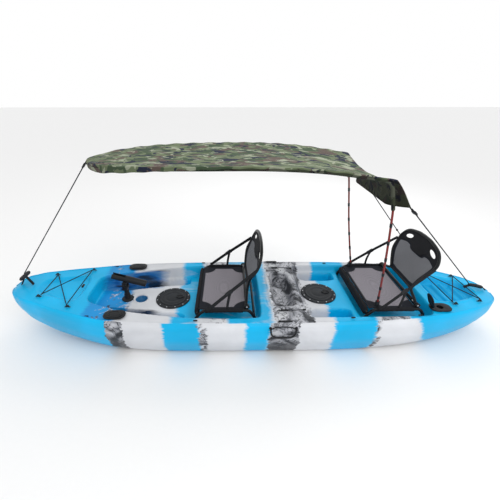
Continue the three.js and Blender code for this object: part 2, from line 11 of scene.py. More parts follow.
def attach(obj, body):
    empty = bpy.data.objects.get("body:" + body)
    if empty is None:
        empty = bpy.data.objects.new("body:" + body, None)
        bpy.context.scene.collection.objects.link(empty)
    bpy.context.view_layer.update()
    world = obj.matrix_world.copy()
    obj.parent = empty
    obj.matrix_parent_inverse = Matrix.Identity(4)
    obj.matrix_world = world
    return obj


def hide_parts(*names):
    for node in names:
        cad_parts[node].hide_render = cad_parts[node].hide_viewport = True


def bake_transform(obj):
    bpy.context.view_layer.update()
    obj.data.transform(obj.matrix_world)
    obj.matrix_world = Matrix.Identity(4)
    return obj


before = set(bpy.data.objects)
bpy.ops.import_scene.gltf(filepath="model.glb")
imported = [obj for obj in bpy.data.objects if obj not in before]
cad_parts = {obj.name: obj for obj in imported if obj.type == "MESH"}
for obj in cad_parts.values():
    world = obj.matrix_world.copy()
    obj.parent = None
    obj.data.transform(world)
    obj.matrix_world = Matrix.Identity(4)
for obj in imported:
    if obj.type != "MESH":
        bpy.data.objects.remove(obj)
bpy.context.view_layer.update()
MM = 0.001
LENGTH = 3.7
SIDES = (("port", 1), ("starboard", -1))


def add_object(name, data):
    obj = bpy.data.objects.new(name, data)
    bpy.context.scene.collection.objects.link(obj)
    return obj


# ---- camera ----

def make_camera():
    data = bpy.data.cameras.new("camera")
    data.sensor_width = 36
    data.lens = 22.41
    data.shift_x = 0.0346
    camera = add_object("camera", data)
    yaw, pitch = math.radians(-0.7), math.radians(27.73)
    forward = Vector((math.sin(yaw) * math.cos(pitch), -math.cos(yaw) * math.cos(pitch),
                      -math.sin(pitch)))
    camera.location = (0.205, 2.007, 1.734)
    camera.rotation_euler = forward.to_track_quat("-Z", "Y").to_euler()
    bpy.context.scene.camera = camera


make_camera()


# ---- material helpers ----

class Shader:
    """A node material around one Principled shader."""

    def __init__(self, name, rough=0.5, metal=0.0):
        self.material = bpy.data.materials.new(name)
        self.material.use_nodes = True
        self.tree = self.material.node_tree
        self.bsdf = self.tree.nodes["Principled BSDF"]
        for key, value in (("Roughness", rough), ("Metallic", metal), ("Specular IOR Level", 0.22)):
            self.bsdf.inputs[key].default_value = value
        self.coords = self.tree.nodes.new("ShaderNodeTexCoord").outputs["Object"]

    def node(self, kind, inputs=None, feed=None, **settings):
        """New node; feed is an output that goes into its input called Vector, Fac or Value."""
        made = self.tree.nodes.new(kind)
        for key, value in settings.items():
            setattr(made, key, value)
        for key, value in (inputs or {}).items():
            made.inputs[key].default_value = value
        if feed:
            socket = next(k for k in ("Vector", "Fac", "Value") if k in made.inputs)
            self.link(feed, made.inputs[socket])
        return made

    def link(self, source, target):
        self.tree.links.new(source, target)

    def noise(self, scale, detail=3.0, distortion=0.0, stretch=None, shift=(0, 0, 0)):
        vector = self.coords
        if stretch:
            vector = self.node("ShaderNodeMapping", {"Scale": stretch, "Location": shift},
                               vector).outputs["Vector"]
        inputs = {"Scale": scale, "Detail": detail, "Distortion": distortion}
        return self.node("ShaderNodeTexNoise", inputs, vector).outputs["Fac"]

    def wave(self, scale, direction, distortion=0.0):
        inputs = {"Scale": scale, "Distortion": distortion}
        return self.node("ShaderNodeTexWave", inputs, self.coords, wave_type="BANDS",
                         bands_direction=direction).outputs["Fac"]

    def math(self, operation, a, b=0.0, c=None):
        made = self.node("ShaderNodeMath", operation=operation)
        for i, value in enumerate((a, b) if c is None else (a, b, c)):
            if isinstance(value, (int, float)):
                made.inputs[i].default_value = value
            else:
                self.link(value, made.inputs[i])
        return made.outputs[0]

    def times(self, a, b):
        return self.math("MULTIPLY", a, b)

    def plus(self, a, b):
        return self.math("ADD", a, b)

    def scaled(self, value, factor, offset):
        return self.math("MULTIPLY_ADD", value, factor, offset)

    def ramp(self, value, stops, interpolation="LINEAR"):
        """Colour by value; a stop's colour is a tuple, or one number for a grey."""
        made = self.node("ShaderNodeValToRGB", feed=value)
        ramp = made.color_ramp
        ramp.interpolation = interpolation
        while len(ramp.elements) < len(stops):
            ramp.elements.new(0.5)
        for element, (position, colour) in zip(ramp.elements, stops):
            element.position = position
            element.color = (*(colour if isinstance(colour, tuple) else (colour,) * 3), 1)
        return made.outputs["Color"]

    def mix(self, factor, a, b, mode="MIX"):
        made = self.node("ShaderNodeMix", data_type="RGBA", blend_type=mode)
        for i, value in ((0, factor), (6, a), (7, b)):
            if isinstance(value, (int, float)):
                made.inputs[i].default_value = value
            elif isinstance(value, tuple):
                made.inputs[i].default_value = (*value, 1)
            else:
                self.link(value, made.inputs[i])
        return made.outputs[2]

    def attribute(self, name):
        return self.node("ShaderNodeAttribute", attribute_name=name).outputs["Fac"]

    def axis(self, which):
        return self.node("ShaderNodeSeparateXYZ", feed=self.coords).outputs[which]

    def colour(self, value):
        self.link(value, self.bsdf.inputs["Base Color"])

    def roughness(self, value, low, high):
        made = self.node("ShaderNodeMapRange", {"To Min": low, "To Max": high}, value)
        self.link(made.outputs["Result"], self.bsdf.inputs["Roughness"])

    def bump(self, height, distance, strength=0.6):
        made = self.node("ShaderNodeBump", {"Strength": strength, "Distance": distance})
        self.link(height, made.inputs["Height"])
        self.link(made.outputs["Normal"], self.bsdf.inputs["Normal"])


CYAN = (0.0, 0.42, 0.76)
DEEP = (0.004, 0.12, 0.40)
MIDDLE = (0.002, 0.25, 0.60)
WHITE = (0.64, 0.655, 0.69)
BLACK = (0.010, 0.012, 0.018)


def bands(shader, position, stations, blend=0.004):
    """Colour bands along the hull: pairs of the station where a colour starts and the colour."""
    stops = [(0.0, stations[0][1])]
    for (_, before), (station, after) in zip(stations, stations[1:]):
        place = (station + LENGTH / 2) / LENGTH
        stops += [(place - blend, before), (place + blend, after)]
    return shader.ramp(position, stops)


def hull_pattern(s, position, height, deck):
    """Bands of the sides and the deck, with clouded marbling where its zones are."""
    side = bands(s, position, [
        (-1.85, CYAN), (-1.14, WHITE), (-0.80, CYAN), (-0.50, WHITE), (-0.06, CYAN),
        (0.10, WHITE), (0.41, CYAN), (0.66, WHITE), (1.02, CYAN),
    ], 0.0025)
    top = bands(s, position, [
        (-1.85, CYAN), (-0.52, WHITE), (-0.08, CYAN), (0.60, WHITE), (0.99, MIDDLE), (1.22, CYAN),
    ])
    margin = s.times(s.ramp(s.math("ABSOLUTE", s.axis(1)), [(0.27, 0), (0.30, 1)]),
                     s.ramp(position, [(0.203, 0), (0.21, 1), (0.28, 1), (0.288, 0),
                                       (0.555, 0), (0.562, 1), (0.612, 1), (0.618, 0)]))
    base = s.mix(deck, side, s.mix(margin, top, WHITE))
    side_marble = bands(s, position, [
        (-1.85, 0), (-0.84, 0.50), (-0.78, 0), (-0.27, 0.95), (-0.06, 0), (0.35, 0.56), (0.43, 0),
        (0.93, 1), (1.05, 0),
    ])
    top_marble = bands(s, position, [
        (-1.85, 0), (-1.08, 0.36), (-0.84, 0), (-0.38, 0.85), (-0.10, 0), (0.96, 0.38), (1.16, 0),
    ])
    amount = s.mix(deck, side_marble, s.mix(1.0, top_marble, s.times(margin, 0.48), "ADD"))
    ragged = s.scaled(s.noise(14, 5, 1.2), 1.1, -0.55)
    zone = s.ramp(s.plus(amount, ragged), [(0.42, 0), (0.54, 1)])
    clouds = s.ramp(s.noise(3.6, 6, 2.4, (1.1, 0.9, 1.3)), [
        (0.31, BLACK), (0.38, (0.06, 0.065, 0.075)), (0.445, (0.27, 0.28, 0.31)),
        (0.52, (0.48, 0.49, 0.53)), (0.64, (0.60, 0.62, 0.65)),
    ])
    veins = s.ramp(s.noise(8, 6, 3.0), [(0.465, 0), (0.485, 0.9), (0.505, 0.9), (0.53, 0)])
    low = s.ramp(height, [(0.14, 0.8), (0.25, 0)])
    return s.mix(zone, base, s.mix(low, s.mix(veins, clouds, BLACK), BLACK))


def deck_tints(s, coloured, place, position, height, deck):
    """Painted shade over blue-black marbling in the recessed front foot troughs, a blue cup recess and
    a pale haze over the middle deck.
    """
    out = s.math("ABSOLUTE", s.axis(1))
    below_edge = s.times(s.ramp(height, [(0.325, 1), (0.338, 0)]), deck)
    inner = s.scaled(s.noise(16, 4, 1.0, (0.4, 1, 1)), 0.06, -0.03)
    spine = s.ramp(s.plus(s.plus(out, inner), s.times(s.axis(0), 0.11)), [(0.225, 0), (0.25, 1)])
    fore = s.ramp(position, [(0.695, 0), (0.72, 1), (0.81, 1), (0.835, 0)])
    # painted shade over blue-black marbling: darkens the foot troughs below the deck edge, outboard of
    # the spine
    trough_shade_and_marbling = s.ramp(s.noise(9, 4, 0.8, (0.3, 1.2, 1)), [
        (0.36, BLACK), (0.46, (0.008, 0.035, 0.09)), (0.54, DEEP), (0.66, (0.10, 0.26, 0.46)),
    ])
    coloured = s.mix(s.times(s.times(below_edge, spine), fore), coloured, trough_shade_and_marbling)
    cup = s.times(s.ramp(height, [(0.244, 1), (0.249, 0)]),
                  s.times(s.ramp(out, [(0.055, 1), (0.06, 0)]),
                          s.ramp(place, [(0.724, 0), (0.728, 1), (0.758, 1), (0.762, 0)])))
    coloured = s.mix(s.times(cup, deck), coloured, (0.025, 0.16, 0.36))
    haze_zone = s.ramp(place, [(0.45, 0), (0.50, 1), (0.64, 1), (0.68, 0)])
    haze = s.ramp(s.noise(8, 4, 1.0, (0.4, 1.3, 1)), [(0.52, 0), (0.68, 0.45)])
    return s.mix(s.times(haze, s.times(haze_zone, deck)), coloured, WHITE)


def hull_material():
    """Marbled polyethylene; the borders of its bands wander and slant towards the stern."""
    s = Shader("marbled_polyethylene", 0.36)
    place = s.scaled(s.axis(0), 1 / LENGTH, 0.5)
    height = s.axis(2)
    wander = s.scaled(s.noise(5, 2, 0.4), 0.07, -0.035)
    streaks = s.scaled(s.noise(60, 4, 1.2, (0.22, 1, 1)), 0.06, -0.03)
    astern = s.ramp(place, [(0.22, 1), (0.26, 0)])
    slant = s.times(s.scaled(height, -0.5, 0.11), astern)
    along = s.plus(s.plus(s.plus(s.axis(0), wander), streaks), slant)
    position = s.scaled(along, 1 / LENGTH, 0.5)
    deck = s.attribute("deck")
    coloured = hull_pattern(s, position, height, deck)
    coloured = deck_tints(s, coloured, place, position, height, deck)
    cloud = s.ramp(s.noise(3, 4, 0.8), [(0.32, 0.88), (0.68, 1.06)])
    s.colour(s.mix(1.0, coloured, cloud, "MULTIPLY"))
    s.roughness(s.noise(120, 4), 0.30, 0.46)
    s.bump(s.noise(420, 2), 0.0006, 0.35)
    return s.material


def grained(name, colour, rough, grain, depth, metal=0.0, variation=0.35):
    """Moulded plastic or powder coat: fine grain, uneven gloss, slightly dusty high spots."""
    s = Shader(name, rough, metal)
    light = tuple(min(1.0, c * (1 + variation) + 0.003) for c in colour)
    s.colour(s.mix(s.noise(35, 4), colour, light))
    s.roughness(s.noise(grain / 3, 3), rough - 0.08, rough + 0.10)
    s.bump(s.noise(grain, 3), depth, 0.5)
    return s.material


def woven(name, colour, dark, pitch, depth, trim_and_shade=None):
    """Woven cloth of crossing threads; trim paints the bound edge in another colour."""
    s = Shader(name, 0.85)
    scale = 1 / (pitch * 6.2832) * 3.1416
    across, along, rise = s.wave(scale, "Y"), s.wave(scale, "X"), s.wave(scale, "Z")
    weave = s.times(across, s.math("MAXIMUM", along, rise))
    tone = s.mix(s.noise(9, 4), colour, tuple(c * 0.82 for c in colour))
    cloth = s.mix(weave, dark, tone)
    if trim_and_shade:
        edge = s.ramp(s.attribute("trim_and_shade"), [(0.47, 0), (0.53, 1)])
        cloth = s.mix(edge, cloth, trim_and_shade)
    s.colour(cloth)
    s.bump(weave, depth, 0.6)
    return s.material


def camouflage(name, shade):
    """Woodland print: four layers of irregular blotches over a fine weave, multiplied darker by a mesh
    attribute as painted shade.
    """
    s = Shader(name, 0.82)
    tint = lambda r, g, b: (r * shade, g * shade, b * shade)
    cloth = s.ramp(s.noise(8, 3, 0.8, (0.8, 1.2, 1)),
                   [(0.0, tint(0.052, 0.082, 0.044)), (0.48, tint(0.135, 0.170, 0.095))], "CONSTANT")
    for scale, cut, colour, offset in ((9, 0.56, tint(0.105, 0.078, 0.066), 3.1),
                                       (12, 0.57, tint(0.014, 0.018, 0.040), 7.7),
                                       (14, 0.59, tint(0.30, 0.33, 0.24), 12.4)):
        blotch = s.noise(scale, 3, 0.9, (0.75, 1.25, 1), (offset, offset * 0.6, offset * 0.3))
        mask = s.ramp(blotch, [(cut, 0), (cut + 0.008, 1)])
        cloth = s.mix(mask, cloth, colour)
    # painted shade: a darkened copy of the print for the hanging edges and the stern flap
    shaded = s.mix(1.0, cloth, (0.22, 0.20, 0.20), "MULTIPLY")
    s.colour(s.mix(s.attribute("trim_and_shade"), cloth, shaded))
    weave = s.times(s.wave(700, "X"), s.wave(700, "Y"))
    s.bump(s.plus(weave, s.noise(26, 3)), 0.0012, 0.4)
    return s.material


def ribbed(name, colour, scale, direction="Z"):
    """Webbing or braided sheath with fine ribs."""
    s = Shader(name, 0.8)
    rib = s.wave(scale, direction, 0.6)
    s.colour(s.mix(rib, tuple(c * 0.45 for c in colour), tuple(c * 1.5 for c in colour)))
    s.bump(rib, 0.0005, 0.6)
    return s.material


HULL = hull_material()
PLASTIC = grained("moulded_black_plastic", (0.010, 0.011, 0.013), 0.48, 700, 0.0003)
PEBBLED = grained("pebbled_black_plastic", (0.013, 0.015, 0.018), 0.55, 190, 0.0014)
TUBE = grained("powder_coated_tube", (0.008, 0.009, 0.010), 0.34, 1100, 0.0002, 0.3)
POLE = grained("dark_red_fibreglass", (0.15, 0.018, 0.016), 0.33, 500, 0.0002)
STEEL = grained("brushed_steel", (0.48, 0.49, 0.51), 0.32, 900, 0.0002, 1.0)
PAN_MESH = woven("light_sling_mesh", (0.40, 0.375, 0.42), (0.17, 0.16, 0.18), 0.0022, 0.0005,
                 BLACK)
BACK_MESH = woven("dark_sling_mesh", (0.28, 0.285, 0.31), (0.12, 0.125, 0.135), 0.0022, 0.0005,
                  BLACK)
PACK_CLOTH = woven("black_pack_cloth", (0.016, 0.017, 0.021), (0.006, 0.006, 0.008), 0.0012, 0.0004)
CAMO = camouflage("camouflage_cloth", 1.0)
# the print at a fifth of its brightness: painted shade for the sleeves and hem, matching the shaded
# stern flap
CAMO_SHADED = camouflage("camouflage_sleeve", 0.20)
WEBBING = ribbed("black_webbing", (0.011, 0.012, 0.014), 330)
CORD = ribbed("braided_cord", (0.014, 0.018, 0.024), 480)


# ---- mesh helpers ----

def finish_piece(obj, nodes=(), body="kayak_body"):
    """Sets what a piece rides on and hides the CAD nodes it stands for."""
    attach(obj, body)
    if nodes:
        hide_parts(*nodes)
    return obj


@contextmanager
def mesh_edit(mesh):
    bm = bmesh.new()
    bm.from_mesh(mesh)
    yield bm
    bm.to_mesh(mesh)
    bm.free()


def make_mesh(name, vertices, faces, material, smooth=True, attributes=None):
    mesh = bpy.data.meshes.new(name)
    mesh.from_pydata([tuple(float(c) for c in v) for v in vertices], [], faces)
    for key, values in (attributes or {}).items():
        layer = mesh.attributes.new(key, "FLOAT", "POINT")
        layer.data.foreach_set("value", np.asarray(values, dtype=np.float32))
    mesh.materials.append(material)
    with mesh_edit(mesh) as bm:
        bmesh.ops.recalc_face_normals(bm, faces=bm.faces)
    mesh.polygons.foreach_set("use_smooth", [smooth] * len(mesh.polygons))
    return add_object(name, mesh)


def join(parts, name):
    """Joins several meshes into one piece."""
    bm = bmesh.new()
    for part in parts:
        bm.from_mesh(part.data)
    target = parts[0]
    bm.to_mesh(target.data)
    bm.free()
    for part in parts[1:]:
        bpy.data.objects.remove(part)
    target.name = name
    return target


def spline(points, per=8):
    """Points of a Catmull-Rom curve through the given points."""
    p = np.asarray(points, float)
    p = np.vstack([2 * p[0] - p[1], p, 2 * p[-1] - p[-2]])
    out = []
    for i in range(1, len(p) - 2):
        for t in np.arange(per) / per:
            a, b, c, d = p[i - 1:i + 3]
            out.append(0.5 * (2 * b + (c - a) * t + (2 * a - 5 * b + 4 * c - d) * t * t
                              + (3 * b - a - 3 * c + d) * t ** 3))
    out.append(p[-2])
    return np.array(out)


def tube_faces(rings, sides):
    """Faces of a tube of closed rings, with both ends capped."""
    faces = [(r * sides + i, r * sides + (i + 1) % sides, (r + 1) * sides + (i + 1) % sides,
              (r + 1) * sides + i) for r in range(rings - 1) for i in range(sides)]
    return faces + [tuple(range(sides)), tuple(range((rings - 1) * sides, rings * sides))]


def sweep(name, path, radius, material, sides=16, flat=1.0):
    """Round or flattened bar along a path; radius is one number or one for each point."""
    path = np.asarray(path, float)
    radii = np.broadcast_to(radius, (len(path),))
    tangents = np.gradient(path, axis=0)
    tangents /= np.linalg.norm(tangents, axis=1)[:, None]
    guide = np.array((0, 0, 1.0))
    if abs(tangents[0] @ guide) > 0.95:
        guide = np.array((0, 1.0, 0))
    normal = guide - tangents[0] * (guide @ tangents[0])
    vertices = []
    for i, (point, tangent) in enumerate(zip(path, tangents)):
        normal = normal - tangent * (normal @ tangent)
        normal /= np.linalg.norm(normal)
        side = np.cross(tangent, normal)
        for angle in np.arange(sides) / sides * 2 * math.pi:
            offset = side * math.cos(angle) + normal * math.sin(angle) * flat
            vertices.append((point + offset * radii[i]) * MM)
    return make_mesh(name, vertices, tube_faces(len(path), sides), material)


def ribbon(name, path, width, thickness, across, material):
    """Flat webbing along a curve, with rounded selvedges."""
    path = spline(path, 10)
    across = np.array(across, float) / np.linalg.norm(across)
    vertices = []
    for i, point in enumerate(path):
        along = path[min(i + 1, len(path) - 1)] - path[max(i - 1, 0)]
        normal = np.cross(along, across)
        normal /= np.linalg.norm(normal)
        for u, v in ((0.5, 0.2), (0.46, 0.5), (-0.46, 0.5), (-0.5, 0.2), (-0.5, -0.2),
                     (-0.46, -0.5), (0.46, -0.5), (0.5, -0.2)):
            vertices.append((point + across * u * width + normal * v * thickness) * MM)
    return make_mesh(name, vertices, tube_faces(len(path), 8), material)


def lathe(name, profile, centre, material, segments=72, oval=1.0, wobble=None):
    """Turned piece about an upright axis, oval along X; wobble changes a radius with the angle."""
    count = len(profile)
    vertices = []
    for s in range(segments):
        angle = s / segments * 2 * math.pi
        for k, (radius, z) in enumerate(profile):
            r = radius * oval / math.hypot(math.cos(angle), oval * math.sin(angle))
            r += wobble(k, angle) if wobble else 0
            vertices.append(((centre[0] + r * math.cos(angle)) * MM,
                             (centre[1] + r * math.sin(angle)) * MM, (centre[2] + z) * MM))
    faces = []
    for s in range(segments):
        n = (s + 1) % segments
        for k in range(count):
            j = (k + 1) % count
            faces.append((s * count + k, n * count + k, n * count + j, s * count + j))
    obj = make_mesh(name, vertices, faces, material)
    with mesh_edit(obj.data) as bm:
        bmesh.ops.remove_doubles(bm, verts=bm.verts, dist=1e-6)
        bmesh.ops.dissolve_degenerate(bm, edges=bm.edges, dist=1e-7)
    return obj


def node_copy(node, name, material, bevel=0.001):
    """A CAD node's own shape as a new piece, with its hard edges rounded."""
    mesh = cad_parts[node].data.copy()
    mesh.materials.clear()
    mesh.materials.append(material)
    with mesh_edit(mesh) as bm:
        bmesh.ops.remove_doubles(bm, verts=bm.verts, dist=1e-6)
        bmesh.ops.dissolve_limit(bm, angle_limit=math.radians(2), verts=bm.verts, edges=bm.edges)
    mesh.polygons.foreach_set("use_smooth", [True] * len(mesh.polygons))
    obj = add_object(name, mesh)
    edges = obj.modifiers.new("bevel", "BEVEL")
    edges.width = bevel
    edges.segments = 2
    edges.limit_method = "ANGLE"
    edges.angle_limit = math.radians(24)
    return obj


# ---- guy lines ----

GUY_TAIL = 84
GUY_DIAMETER = 0.007


def guy_line(name, start, end, ball=None):
    """Line from the canopy to the deck below a webbing tail; ball is a stop's share of the way."""
    start, end = np.array(start, float), np.array(end, float)
    along = (end - start) / np.linalg.norm(end - start)
    begin = start + along * (GUY_TAIL + 0.5)
    points = [begin + (end - begin) * t for t in np.linspace(0, 1, 24)]
    curve = bpy.data.curves.new(name, "CURVE")
    curve.dimensions = "3D"
    curve.bevel_depth = GUY_DIAMETER / 2
    curve.bevel_resolution = 4
    curve.use_fill_caps = True
    line = curve.splines.new("POLY")
    line.points.add(len(points) - 1)
    for point, place in zip(line.points, points):
        point.co = (*(place * MM), 1)
    curve.materials.append(CORD)
    cord = finish_piece(add_object(name + "_line", curve), [name])
    across = np.cross((0, 0, 1.0), along)
    tail = ribbon(name + "_tail", [start + along * d for d in (8, 34, 60, GUY_TAIL)], 18, 4,
                  across, WEBBING)
    slider = ribbon(name + "_slider", [start + along * d for d in (40, 50, 62, 72)], 28, 9,
                    across, PLASTIC)
    pieces = [finish_piece(tail, [name + "_buckle"]), finish_piece(slider)]
    if ball:
        centre = start + (end - start) * ball
        turn = [(8.5 * math.sin(a), -8.5 * math.cos(a)) for a in np.linspace(0, math.pi, 13)]
        pieces.append(finish_piece(lathe(name + "_ball", turn, centre, PLASTIC, 24)))


guy_line("guy_bow", (1088, 0, 1336), (1747, 0, 488.5))
guy_line("guy_stern_port", (-802, 383, 1138), (-1656, 10, 376.5))
guy_line("guy_stern_starboard", (-802, -383, 1138), (-1430, -215, 368), 0.565)


# ---- hull ----

STATIONS = np.array([
    (-1850, 14, 296, 236), (-1825, 82, 304, 192), (-1765, 152, 316, 150), (-1650, 222, 328, 106),
    (-1450, 304, 338, 62), (-1150, 376, 343, 26), (-800, 415, 345, 6), (-400, 430, 345, 0),
    (0, 430, 345, 0), (400, 430, 345, 0), (800, 416, 346, 6), (1080, 386, 350, 26),
    (1340, 316, 364, 66), (1580, 232, 382, 126), (1740, 160, 391, 205), (1818, 88, 389, 270),
    (1850, 14, 374, 340),
], float)
SECTION = [(0, 0, 0), (0.16, 0, 0), (0.27, 0.02, 14), (0.42, 0.02, 14), (0.52, 0, 0), (0.68, 0, 0),
           (0.78, 0.06, 0), (0.972, 0.52, 0), (1, 0.84, 0), (0.985, 0.95, 0), (0.93, 1, 0)]
FLOOR, TROUGH, PLATEAU, TRAY, TANK = 250, 168, 286, 258, 268
HATCHES = {"hatch_front": (650, FLOOR), "hatch_rear": (-494, PLATEAU)}
HOLDERS = {f"flush_holder_{end}_{side}": (x, sign * y)
           for end, x, y in (("bow", 993, 320), ("stern", -1290, 258)) for side, sign in SIDES}
CUP_X = 900
SCUPPERS = [(230, 150), (230, -150), (-980, 150), (-980, -150)]


def fair(x, column):
    """A fair curve through one column of the hull stations."""
    xs, ys = STATIONS[:, 0], STATIONS[:, column]
    slope = np.gradient(ys, xs)
    i = np.clip(np.searchsorted(xs, x) - 1, 0, len(xs) - 2)
    h = xs[i + 1] - xs[i]
    t = np.clip((x - xs[i]) / h, 0, 1)
    return ((2 * t ** 3 - 3 * t ** 2 + 1) * ys[i] + (t ** 3 - 2 * t ** 2 + t) * h * slope[i]
            + (3 * t ** 2 - 2 * t ** 3) * ys[i + 1] + (t ** 3 - t ** 2) * h * slope[i + 1])


def rounded(outline, passes=2):
    """Cuts the corners of a closed outline."""
    p = np.asarray(outline, float)
    for _ in range(passes):
        q = np.roll(p, -1, axis=0)
        p = np.stack([p * 0.8 + q * 0.2, p * 0.2 + q * 0.8], axis=1).reshape(-1, 2)
    return p


def distance(x, y, outline):
    """Signed distance to a closed outline, negative inside."""
    best = np.full(x.shape, 1e9)
    inside = np.zeros(x.shape, bool)
    for (ax, ay), (bx, by) in zip(outline, np.roll(outline, -1, axis=0)):
        ex, ey = bx - ax, by - ay
        t = np.clip(((x - ax) * ex + (y - ay) * ey) / (ex * ex + ey * ey + 1e-9), 0, 1)
        best = np.minimum(best, np.hypot(x - ax - t * ex, y - ay - t * ey))
        crosses = ((ay > y) != (by > y)) & (x < (bx - ax) * (y - ay) / (by - ay + 1e-12) + ax)
        inside ^= crosses
    return np.where(inside, -best, best)


def sink(top, floor, s, lip, run):
    """Height of a recess whose wall falls from the lip outside its outline to the floor."""
    t = np.clip((lip - s) / (lip + run), 0, 1)
    return top + (floor - top) * t * t * (3 - 2 * t)


def soft_min(a, b, k):
    """Lower of two heights, with a fillet of about k between them."""
    h = np.clip(0.5 + 0.5 * (b - a) / k, 0, 1)
    return b + (a - b) * h - k * h * (1 - h)


def both_sides(half):
    """A deck outline from its port half."""
    return list(half) + [(x, -y) for x, y in reversed(half)]


COCKPIT_FRONT = [(1262, 120), (1220, 178), (960, 268), (480, 348), (20, 350), (-18, 322)]
HATCH_DECK = [(-326, 330), (-366, 350), (-1120, 338), (-1206, 326), (-1244, 250)]
COCKPIT_REAR = [(-706, 340), (-760, 344), (-1120, 338), (-1202, 326), (-1236, 250)]
GEAR_TRAY = [(-112, 190), (-140, 226), (-250, 226), (-282, 190)]
TANK_WELL = [(-1318, 160), (-1345, 176), (-1480, 170), (-1660, 100), (-1690, 60)]
FOOT_TROUGH = [(1128, 80), (1110, 190), (940, 252), (560, 318), (520, 300), (520, 176), (760, 160)]
FOOTWELL = [(-372, 176), (-372, 310), (-400, 326), (-660, 322), (-690, 300), (-690, 176)]


def deck_height(x, y):
    """Height of the deck: recesses, then the cup, bow panel, ribs, beads and grooves."""
    top = fair(x, 2)
    z = top.copy()
    for half, floor, taper in ((COCKPIT_FRONT, FLOOR, 0.16), (HATCH_DECK, PLATEAU, 0.16),
                               (COCKPIT_REAR, FLOOR, 0.16), (GEAR_TRAY, TRAY, 0.3),
                               (TANK_WELL, TANK, 0.3)):
        s = distance(x, y, rounded(both_sides(half)))
        z = soft_min(z, sink(top, floor, s, 7, 12 + taper * 95), 6)
    for outline in (FOOT_TROUGH, FOOTWELL):
        for sign in (1, -1):
            s = distance(x, y, rounded([(px, sign * py) for px, py in outline]))
            z = soft_min(z, sink(top, TROUGH, s, 6, 30), 8)
    from_cup = np.hypot(x - CUP_X, y)
    z = np.minimum(z, sink(top, FLOOR - 44, from_cup - 48, 5, 7))
    z += 4 * np.exp(-((from_cup - 60) / 6) ** 2)
    panel = distance(x, y, rounded(both_sides([(1660, 30), (1640, 92), (1400, 168), (1310, 150)])))
    z -= 20 * np.clip((6 - panel) / 30, 0, 1) ** 2 * (x > 1270)
    for station in (-1390, -1460, -1530, -1600):
        rib = np.exp(-((x - station) / 11) ** 4) * np.clip((128 - np.abs(y)) / 20, 0, 1)
        z += np.where(z < TANK + 12, 24 * rib, 0)
    well = distance(x, y, rounded(both_sides(TANK_WELL)))
    z += 5 * np.exp(-((well - 16) / 9) ** 2)
    tray = distance(x, y, rounded(both_sides(GEAR_TRAY)))
    z += 6 * np.exp(-((tray - 17) / 9) ** 2)
    for offset in (34, 52):
        z -= 4 * np.exp(-((tray - offset) / 5) ** 2) * (np.abs(y) > 120) * (x > -330)
    for station in (650, 740, 830, 920):
        rib = np.exp(-((x - station) / 8) ** 2)
        z += np.where(z < TROUGH + 10, 5 * rib, 0)
    for across in (60, 110):
        groove = np.exp(-((np.abs(y) - across) / 7) ** 2) * np.clip((x - 30) / 40, 0, 1)
        z -= np.where((z > FLOOR - 3) & (z < FLOOR + 3) & (x < 420), 5 * groove, 0)
    return z


def hull_mesh():
    """Closed shell of cross sections, with openings for the hatches, holders and scuppers."""
    ends = np.linspace(0, 1, 9)[1:-1] ** 2 * 14
    xs = np.concatenate([[-1850], -1850 + ends, np.arange(-1834, 1835, 5.5), 1850 - ends[::-1],
                         [1850]])
    side = np.asarray(SECTION, float)
    fine = np.concatenate([np.linspace(side[i], side[i + 1], 7)[:-1] for i in range(len(side) - 1)]
                          + [side[-1:]])
    for _ in range(2):
        fine[1:-1] = 0.25 * fine[:-2] + 0.5 * fine[1:-1] + 0.25 * fine[2:]
    across = np.linspace(0.93, -0.93, 157)[1:-1]
    half, keel, top = fair(xs, 1), fair(xs, 3), fair(xs, 2)
    rows = []
    for x, b, k, t in zip(xs, half, keel, top):
        z_side = k + fine[:, 1] * (t - k) + fine[:, 2] * min(1, b / 300)
        port = np.column_stack([np.full(len(fine), x), fine[:, 0] * b, z_side])
        y = across * b
        z = deck_height(np.full(len(y), x), y)
        deck = np.column_stack([np.full(len(y), x), y, np.maximum(z, k + 25)])
        starboard = port[::-1] * (1, -1, 1)
        rows.append(np.vstack([port, deck, starboard[:-1]]))
    grid = np.array(rows)
    n = grid.shape[1]
    deck_flag = np.zeros(n)
    deck_flag[len(fine) - 2:len(fine) + len(across) + 2] = 1
    count = len(xs)
    a = (np.arange(count - 1)[:, None] * n + np.arange(n)).ravel()
    b = (np.arange(count - 1)[:, None] * n + (np.arange(n) + 1) % n).ravel()
    quads = np.column_stack([a, b, b + n, a + n])
    points = grid.reshape(-1, 3)
    centre = points[quads].mean(axis=1)
    keep = np.ones(len(quads), bool)
    on_deck = centre[:, 2] > 160
    for x, _ in HATCHES.values():
        keep &= ~(on_deck & (np.hypot(centre[:, 0] - x, centre[:, 1]) < 101))
    for x, y in HOLDERS.values():
        keep &= ~((centre[:, 2] > 320) & (np.hypot(centre[:, 0] - x, centre[:, 1] - y) < 30))
    for x, y in SCUPPERS:
        keep &= ~(np.hypot(centre[:, 0] - x, centre[:, 1] - y) < 13)
    faces = [tuple(int(i) for i in q) for q in quads[keep]]
    faces.append(tuple(range(n)))
    faces.append(tuple(range((count - 1) * n, count * n)))
    return make_mesh("hull_shell", points * MM, faces, HULL,
                     attributes={"deck": np.tile(deck_flag, count)})


finish_piece(hull_mesh(), ["hull"])

for number, (x, y) in enumerate(SCUPPERS):
    well = lathe(f"scupper_{number}", [(12, 8), (12, FLOOR - 3), (15, FLOOR + 1), (20, FLOOR + 1.5),
                                       (20, FLOOR - 1), (13.5, FLOOR - 4), (13.5, 8)],
                 (x, y, 0), HULL, 40)
    finish_piece(well)


# ---- hatches ----

def notched(depth, count, rows):
    """Scallops the listed profile points inward, evenly round the turn."""
    def change(k, angle):
        return -depth * max(0.0, math.cos(angle * count)) ** 3 if k in rows else 0
    return change


